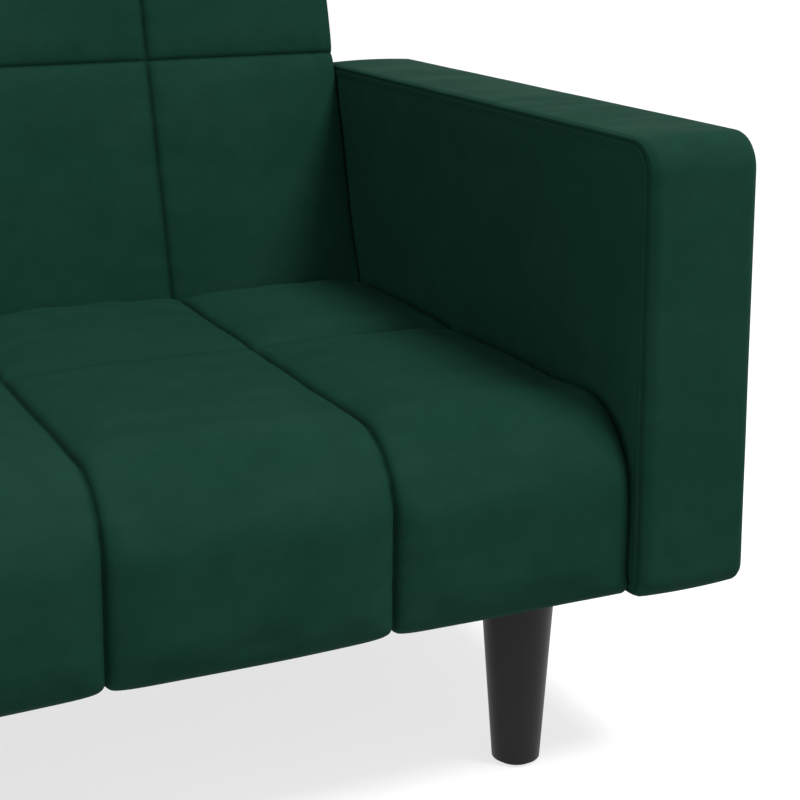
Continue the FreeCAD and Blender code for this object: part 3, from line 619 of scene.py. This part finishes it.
def arm_cover(name, side):
    """Arm cover: a band round the side view's outline, sewn to a panel on each side.

    The cross-section runs from the middle of one panel to its edge, round the soft rolled edge, over the
    slightly crowned band and back to the middle of the other panel. A seam sinks where they are sewn.
    inset is the distance in from the outline and x the distance across the arm.
    """
    sizes = bpy.context.scene.sofa_sizes
    low, high = ARM_LOW[1:], ARM_HIGH[1:]
    corners = [(low[0], low[1]), (high[0], low[1]), (high[0], high[1]), (low[0], high[1])]
    loop, normals = rounded_loop(corners, ARM_RADII, ARM_STEP)
    length = loop_lengths(loop)
    width = ARM_HIGH[0] - ARM_LOW[0]

    roll = (0.5 + 0.5 * np.clip(-normals[:, 0], 0, 1)) * sizes.arm_edge
    quarter = np.linspace(0, math.pi / 2, 13)[:, None]
    panel = np.array([PANEL_REACH, 0.36, 0.20, 0.10, 0.055, 0.035, 0.024, 0.018])[:, None] + 0 * roll
    edge_in = roll + (0.016 - roll) * np.linspace(1, 0.03, 5)[:, None]
    panel_in = np.concatenate([panel, edge_in])
    band_x = roll + (width - 2 * roll) * np.linspace(0, 1, 15)[1:-1, None]
    edge_inset, edge_x = roll * (1 - np.sin(quarter)), roll * (1 - np.cos(quarter))
    inset = np.concatenate([panel_in, edge_inset, 0 * band_x, edge_inset[::-1], panel_in[::-1]])
    x = np.concatenate([0 * panel_in, edge_x, band_x, width - edge_x[::-1], width + 0 * panel_in])

    run = loop_lengths(np.stack([x[:, 0], inset[:, 0]], 1))
    seam_row = len(panel_in) + 2
    away = np.minimum(np.abs(run - run[seam_row]), np.abs(run - run[-1 - seam_row]))[:, None]
    seam = -ARM_SEAM * np.exp(-(away / 0.0013) ** 2)
    seam = seam + ARM_SEAM_LIP * np.exp(-((away - 0.0036) / 0.0018) ** 2)
    crown = ARM_CROWN * np.sin(math.pi * np.clip(x / width, 0, 1)) ** 0.7 * (inset <= roll)
    soft = ARM_SOFT * waves(length[None], run[:, None], 0.15, SEED + (3 if side > 0 else 4))

    centre = np.clip(loop, low + 0.19, high - 0.19)
    blend = smooth_step(inset, 0.03, PANEL_REACH)[..., None]
    straight = loop[None] - normals[None] * np.clip(inset, 0, STRAIGHT_IN)[..., None]
    share = (np.clip(inset - STRAIGHT_IN, 0, None) / (PANEL_REACH - STRAIGHT_IN))[..., None]
    flat = straight + (centre[None] - straight) * share ** (1 - 0.35 * blend)
    flat = flat + normals[None] * (crown + (seam + soft) * (inset <= roll * 0.9))[..., None]

    puffed = 1 + 0.5 * waves(flat[..., 0], flat[..., 1], 0.22, SEED + 5)
    bulge = ARM_BULGE * (smooth_step(inset, 0.011, 0.06) * puffed - 1)
    outward = np.where(x < width / 2, -1.0, 1.0)
    across = ARM_LOW[0] + x + outward * (bulge + seam * (inset > roll * 0.5))
    points = np.stack([side * across, flat[..., 0], flat[..., 1]], -1)
    line = points[[0, -1]].copy()
    line[..., 1:] = centre
    points = np.concatenate([line[:1], points, line[1:]])

    run = np.concatenate([[run[0] - 0.2], run, [run[-1] + 0.2]])
    uv = np.stack(np.broadcast_arrays(length[None], run[:, None]), -1).astype(float)
    # painted shade mask: half strength along the arm's seams, where the velvet's colour is darkened
    crease = 0.5 * np.exp(-(np.pad(away, ((1, 1), (0, 0)), constant_values=1.0) / 0.0016) ** 2)
    return tube_object(name, points, uv, crease + 0 * uv[..., 0])


# ---------------------------------------------------------------- shader groups

def new_group(name, inputs, outputs):
    """An empty shader node group with the named float inputs and the named outputs."""
    tree = bpy.data.node_groups.new(name, "ShaderNodeTree")
    for label, default in inputs.items():
        socket = tree.interface.new_socket(label, in_out="INPUT", socket_type="NodeSocketFloat")
        socket.default_value = default
    for label, kind in outputs.items():
        tree.interface.new_socket(label, in_out="OUTPUT", socket_type=kind)
    return tree, tree.nodes.new("NodeGroupInput"), tree.nodes.new("NodeGroupOutput")


def noise(tree, vector, scale, detail=2.0, rough=0.5):
    """Soft noise at a place, between 0 and 1."""
    node = tree.nodes.new("ShaderNodeTexNoise")
    node.inputs["Detail"].default_value = detail
    node.inputs["Roughness"].default_value = rough
    if isinstance(scale, (int, float)):
        node.inputs["Scale"].default_value = scale
    else:
        tree.links.new(scale, node.inputs["Scale"])
    tree.links.new(vector, node.inputs["Vector"])
    return node.outputs["Fac"]


def ramp(tree, value, low, high, to_low=0.0, to_high=1.0):
    """A value eased from to_low at low to to_high at high."""
    node = tree.nodes.new("ShaderNodeMapRange")
    node.interpolation_type = "SMOOTHSTEP"
    for label, number in (("From Min", low), ("From Max", high), ("To Min", to_low), ("To Max", to_high)):
        node.inputs[label].default_value = number
    tree.links.new(value, node.inputs["Value"])
    return node.outputs["Result"]


def math_node(tree, operation, first, second):
    """One step of arithmetic on two values or numbers."""
    node = tree.nodes.new("ShaderNodeMath")
    node.operation = operation
    for socket, value in zip(node.inputs, (first, second)):
        if isinstance(value, (int, float)):
            socket.default_value = value
        else:
            tree.links.new(value, socket)
    return node.outputs[0]


def nap_group():
    """Velvet pile, from Object coordinates: where it is brushed, its fine fibres, where it is crushed."""
    tree, given, result = new_group(
        "Velvet Nap", {"Patch Scale": 5.0, "Fibre Scale": 900.0},
        {"Brushed": "NodeSocketFloat", "Fibre": "NodeSocketFloat", "Crush": "NodeSocketFloat"})
    where = tree.nodes.new("ShaderNodeTexCoord").outputs["Object"]
    patches = noise(tree, where, given.outputs["Patch Scale"], 4.0, 0.62)
    stroke = tree.nodes.new("ShaderNodeMapping")
    stroke.inputs["Scale"].default_value = (9.0, 30.0, 22.0)
    stroke.inputs["Rotation"].default_value = (0.3, 0.2, 0.5)
    tree.links.new(where, stroke.inputs["Vector"])
    strokes = noise(tree, stroke.outputs["Vector"], 1.0, 3.0, 0.6)
    patches = math_node(tree, "MULTIPLY", patches, 0.62)
    mixed = math_node(tree, "ADD", patches, math_node(tree, "MULTIPLY", strokes, 0.38))
    tree.links.new(ramp(tree, mixed, 0.36, 0.64), result.inputs["Brushed"])
    fibre = noise(tree, where, given.outputs["Fibre Scale"], 2.0, 0.7)
    tree.links.new(fibre, result.inputs["Fibre"])
    crush = noise(tree, where, 38.0, 3.0, 0.6)
    tree.links.new(ramp(tree, crush, 0.35, 0.7), result.inputs["Crush"])
    return tree


def weave_group():
    """Plain cloth: crossing threads from two bands of waves, as a height."""
    tree, given, result = new_group("Cloth Weave", {"Threads": 420.0}, {"Height": "NodeSocketFloat"})
    where = tree.nodes.new("ShaderNodeTexCoord").outputs["Object"]
    heights = []
    for direction in ("X", "Y"):
        band = tree.nodes.new("ShaderNodeTexWave")
        band.bands_direction = direction
        band.inputs["Distortion"].default_value = 0.6
        tree.links.new(given.outputs["Threads"], band.inputs["Scale"])
        tree.links.new(where, band.inputs["Vector"])
        heights.append(band.outputs["Fac"])
    tree.links.new(math_node(tree, "MAXIMUM", *heights), result.inputs["Height"])
    return tree


def grain_group():
    """Timber: growth lines stretched along X, as a mask."""
    tree, given, result = new_group("Timber Grain", {"Line Scale": 60.0}, {"Lines": "NodeSocketFloat"})
    where = tree.nodes.new("ShaderNodeTexCoord").outputs["Object"]
    stretch = tree.nodes.new("ShaderNodeMapping")
    stretch.inputs["Scale"].default_value = (0.06, 1.0, 1.0)
    tree.links.new(where, stretch.inputs["Vector"])
    lines = noise(tree, stretch.outputs["Vector"], given.outputs["Line Scale"], 5.0, 0.65)
    tree.links.new(ramp(tree, lines, 0.3, 0.7), result.inputs["Lines"])
    return tree


def wear_group():
    """Moulded and painted surfaces: scuffs and a fine texture, from Object coordinates."""
    tree, given, result = new_group(
        "Surface Wear", {"Texture Scale": 1400.0},
        {"Scuff": "NodeSocketFloat", "Texture": "NodeSocketFloat"})
    where = tree.nodes.new("ShaderNodeTexCoord").outputs["Object"]
    scuff = noise(tree, where, 55.0, 6.0, 0.7)
    tree.links.new(ramp(tree, scuff, 0.52, 0.78), result.inputs["Scuff"])
    tree.links.new(noise(tree, where, given.outputs["Texture Scale"], 2.0, 0.5), result.inputs["Texture"])
    return tree


# ---------------------------------------------------------------- materials

def start_material(name, roughness, metallic=0.0):
    """A material with its Principled shader, and its tree."""
    material = bpy.data.materials.new(name)
    material.use_nodes = True
    shader = material.node_tree.nodes["Principled BSDF"]
    shader.inputs["Roughness"].default_value = roughness
    shader.inputs["Metallic"].default_value = metallic
    return material, material.node_tree, shader


def place_group(tree, group, **values):
    """A node group placed in a material, with its own values."""
    node = tree.nodes.new("ShaderNodeGroup")
    node.node_tree = group
    for label, value in values.items():
        node.inputs[label.replace("_", " ")].default_value = value
    return node.outputs


def mix_colour(tree, factor, first, second):
    """A colour between two, by a factor that varies."""
    node = tree.nodes.new("ShaderNodeMix")
    node.data_type = "RGBA"
    tree.links.new(factor, node.inputs["Factor"])
    for socket, value in ((node.inputs["A"], first), (node.inputs["B"], second)):
        if hasattr(value, "links"):
            tree.links.new(value, socket)
        else:
            socket.default_value = (*value, 1.0)
    return node.outputs["Result"]


def bump(tree, shader, height, strength, distance):
    """Small relief on a material, from a height."""
    node = tree.nodes.new("ShaderNodeBump")
    node.inputs["Strength"].default_value = strength
    node.inputs["Distance"].default_value = distance
    tree.links.new(height, node.inputs["Height"])
    tree.links.new(node.outputs["Normal"], shader.inputs["Normal"])


def velvet_material(group):
    """Velvet: two greens by the way the pile is brushed, darker where crushed, with painted shade in the seams."""
    colours = bpy.context.scene.sofa_colours
    material, tree, shader = start_material("Green Velvet", 0.82)
    nap = place_group(tree, group, Patch_Scale=4.2, Fibre_Scale=820.0)
    colour = mix_colour(tree, nap["Brushed"], tuple(colours.velvet), tuple(colours.velvet_nap))
    dark = tuple(0.82 * value for value in colours.velvet)
    colour = mix_colour(tree, math_node(tree, "MULTIPLY", nap["Crush"], 0.30), colour, dark)
    # painted shade in the seams: the crease attribute mixes the pile colour towards a quarter of itself
    seam = tree.nodes.new("ShaderNodeAttribute")
    seam.attribute_name = "crease"
    deep = tuple(0.25 * value for value in colours.velvet)
    colour = mix_colour(tree, math_node(tree, "MULTIPLY", seam.outputs["Fac"], 0.45), colour, deep)
    tree.links.new(colour, shader.inputs["Base Color"])
    tree.links.new(ramp(tree, nap["Brushed"], 0.0, 1.0, 0.88, 0.74), shader.inputs["Roughness"])
    shader.inputs["Specular IOR Level"].default_value = 0.02
    shader.inputs["Sheen Weight"].default_value = 0.012
    shader.inputs["Sheen Roughness"].default_value = 0.42
    shader.inputs["Sheen Tint"].default_value = (0.30, 0.72, 0.52, 1.0)
    pile = math_node(tree, "ADD", nap["Fibre"], math_node(tree, "MULTIPLY", nap["Crush"], 0.6))
    bump(tree, shader, pile, 0.35, 0.0006)
    return material


def cloth_material(name, colour, group, threads, depth):
    """Plain cloth: darker between its threads, which stand a little proud."""
    material, tree, shader = start_material(name, 0.9)
    weave = place_group(tree, group, Threads=threads)
    lighter = tuple(min(1.0, value * 1.6 + 0.01) for value in colour)
    tree.links.new(mix_colour(tree, weave["Height"], colour, lighter), shader.inputs["Base Color"])
    bump(tree, shader, weave["Height"], 0.5, depth)
    return material


def timber_material(name, group, colour, scale):
    """Timber or board: darker growth lines, slightly raised."""
    material, tree, shader = start_material(name, 0.62)
    grain = place_group(tree, group, Line_Scale=scale)
    dark = tuple(0.55 * value for value in colour)
    tree.links.new(mix_colour(tree, grain["Lines"], dark, colour), shader.inputs["Base Color"])
    bump(tree, shader, grain["Lines"], 0.25, 0.0005)
    return material


def moulded_material(name, group, colour, roughness, metallic, scale, depth, specular=0.5):
    """Moulded, felted or painted surface: lighter and rougher where scuffed, with a fine texture."""
    material, tree, shader = start_material(name, roughness, metallic)
    shader.inputs["Specular IOR Level"].default_value = specular
    wear = place_group(tree, group, Texture_Scale=scale)
    lighter = tuple(min(1.0, value * 1.5 + 0.001) for value in colour)
    tree.links.new(mix_colour(tree, wear["Scuff"], colour, lighter), shader.inputs["Base Color"])
    rougher = ramp(tree, wear["Scuff"], 0.0, 1.0, roughness, roughness + 0.16)
    tree.links.new(rougher, shader.inputs["Roughness"])
    bump(tree, shader, wear["Texture"], 0.22, depth)
    return material


def foam_material(group):
    """Cut foam: open cells in two yellows."""
    material, tree, shader = start_material("Foam", 0.95)
    wear = place_group(tree, group, Texture_Scale=420.0)
    colour = mix_colour(tree, wear["Texture"], (0.60, 0.52, 0.28), (0.74, 0.66, 0.40))
    tree.links.new(colour, shader.inputs["Base Color"])
    bump(tree, shader, wear["Texture"], 0.6, 0.0012)
    return material


# ---------------------------------------------------------------- operators

class SOFA_OT_finishes(bpy.types.Operator):
    """Make the finishes and put them on the frame's pieces"""

    bl_idname = "sofa.finishes"
    bl_label = "Finishes"

    def execute(self, context):
        colours = context.scene.sofa_colours
        weave, grain, wear = weave_group(), grain_group(), wear_group()
        leg = tuple(colours.leg)
        finishes = {
            "velvet": velvet_material(nap_group()),
            "foam": foam_material(wear),
            "nonwoven": cloth_material("Black Backing", (0.010, 0.010, 0.011), weave, 260.0, 0.0003),
            "webbing": cloth_material("Webbing", (0.030, 0.030, 0.032), weave, 380.0, 0.0006),
            "felt": moulded_material("Felt", wear, (0.06, 0.055, 0.05), 0.9, 0.0, 700.0, 0.0008),
            "leg_plastic": moulded_material("Leg Plastic", wear, leg, 0.42, 0.0, 1300.0, 0.00012, 0.16),
            "hardboard": timber_material("Hardboard", grain, (0.23, 0.13, 0.065), 300.0),
            "timber": timber_material("Pine Frame", grain, tuple(colours.timber), 60.0),
            "steel": moulded_material(
                "Black Steel", wear, (0.035, 0.035, 0.038), 0.38, 0.85, 900.0, 0.0001),
        }
        slots = {part["node"]: part["material_slot"] for part in RECORD["subparts"]}
        for node, piece in frame["nodes"].items():
            piece.data.materials.clear()
            piece.data.materials.append(finishes[slots[node]])
        return {"FINISHED"}


def finish_cover(piece, body, fill, *nodes):
    """Velvet on a sewn cover, which rides on its body and stands for its plain solids."""
    piece.data.materials.append(bpy.data.materials["Green Velvet"])
    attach(piece, body)
    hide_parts(*nodes)


class SOFA_OT_seat(bpy.types.Operator):
    """Make the quilted seat cover"""

    bl_idname = "sofa.seat"
    bl_label = "Seat"

    def execute(self, context):
        finish_cover(seat_pad(), "base", 0.8, "seat_cover", "seat_foam")
        return {"FINISHED"}


class SOFA_OT_backrest(bpy.types.Operator):
    """Make the quilted backrest cover"""

    bl_idname = "sofa.backrest"
    bl_label = "Backrest"

    def execute(self, context):
        finish_cover(back_pad(), "backrest", 0.8, "backrest_cover", "backrest_foam")
        return {"FINISHED"}


class SOFA_OT_arms(bpy.types.Operator):
    """Make the two sewn arm covers"""

    bl_idname = "sofa.arms"
    bl_label = "Arms"

    def execute(self, context):
        for name, side in (("left", -1), ("right", 1)):
            piece = arm_cover("arm_sewn_cover_" + name, side)
            finish_cover(piece, "base", 0.9, "arm_cover_" + name, "arm_padding_" + name)
        return {"FINISHED"}


class SOFA_OT_stage(bpy.types.Operator):
    """Make the studio: pale floor, soft light and camera"""

    bl_idname = "sofa.stage"
    bl_label = "Studio"

    def execute(self, context):
        scene = context.scene
        mesh = bpy.data.meshes.new("studio_floor")
        half = FLOOR_HALF
        corners = [(-half, -half, 0), (half, -half, 0), (half, half, 0), (-half, half, 0)]
        mesh.from_pydata(corners, [], [(0, 1, 2, 3)])
        floor = bpy.data.objects.new("studio_floor", mesh)
        scene.collection.objects.link(floor)
        material, _, shader = start_material("Studio Floor", 0.9)
        shader.inputs["Base Color"].default_value = (*scene.sofa_colours.floor, 1.0)
        shader.inputs["Specular IOR Level"].default_value = 0.1
        shader.inputs["Emission Color"].default_value = (1.0, 1.0, 1.0, 1.0)
        shader.inputs["Emission Strength"].default_value = FLOOR_GLOW
        mesh.materials.append(material)

        world = bpy.data.worlds.new("Studio World")
        scene.world = world
        world.use_nodes = True
        backdrop = world.node_tree.nodes["Background"]
        backdrop.inputs["Color"].default_value = (1.0, 1.0, 1.0, 1.0)
        backdrop.inputs["Strength"].default_value = 1.0

        for name, light in LIGHTS.items():
            lamp = bpy.data.lights.new(name, "AREA")
            lamp.shape = "DISK"
            lamp.size = light["width"]
            lamp.energy = light["power"]
            holder = bpy.data.objects.new(name, lamp)
            scene.collection.objects.link(holder)
            aim_at(holder, light["place"], light["aim"])

        camera = bpy.data.cameras.new("camera")
        camera.lens = CAMERA_LENS
        camera.sensor_width = 36.0
        camera.shift_y = CAMERA_SHIFT
        camera.clip_end = 60.0
        holder = bpy.data.objects.new("camera", camera)
        scene.collection.objects.link(holder)
        holder.location = ARM_LOW + CAMERA_FROM_ARM
        holder.rotation_euler = (math.radians(90 - CAMERA_DOWN), 0.0, math.radians(CAMERA_TURN))
        scene.camera = holder
        scene.view_settings.view_transform = "Standard"
        return {"FINISHED"}


def aim_at(holder, place, target):
    """Put a light at a place, with its -Z axis towards the target."""
    direction = Vector(target) - Vector(place)
    holder.location = place
    holder.rotation_euler = direction.to_track_quat("-Z", "Y").to_euler()


class SOFA_PT_panel(bpy.types.Panel):
    """Sidebar panel with the sofa bed's steps"""

    bl_idname = "SOFA_PT_panel"
    bl_label = "Quilted Sofa Bed"
    bl_space_type = "VIEW_3D"
    bl_region_type = "UI"
    bl_category = "Sofa Bed"

    def draw(self, context):
        for operator in OPERATORS:
            self.layout.operator(operator.bl_idname)
        for group in (context.scene.sofa_sizes, context.scene.sofa_colours):
            for label in group.__annotations__:
                self.layout.prop(group, label)


OPERATORS = (SOFA_OT_finishes, SOFA_OT_seat, SOFA_OT_backrest, SOFA_OT_arms, SOFA_OT_stage)
CLASSES = (SofaSizes, SofaColours, *OPERATORS, SOFA_PT_panel)


def register():
    for cls in CLASSES:
        bpy.utils.register_class(cls)
    bpy.types.Scene.sofa_sizes = PointerProperty(type=SofaSizes)
    bpy.types.Scene.sofa_colours = PointerProperty(type=SofaColours)


def unregister():
    del bpy.types.Scene.sofa_sizes
    del bpy.types.Scene.sofa_colours
    for cls in reversed(CLASSES):
        bpy.utils.unregister_class(cls)


def main():
    register()
    bpy.ops.sofa.finishes()
    bpy.ops.sofa.seat()
    bpy.ops.sofa.backrest()
    bpy.ops.sofa.arms()
    bpy.ops.sofa.stage()


if __name__ == "__main__":
    main()
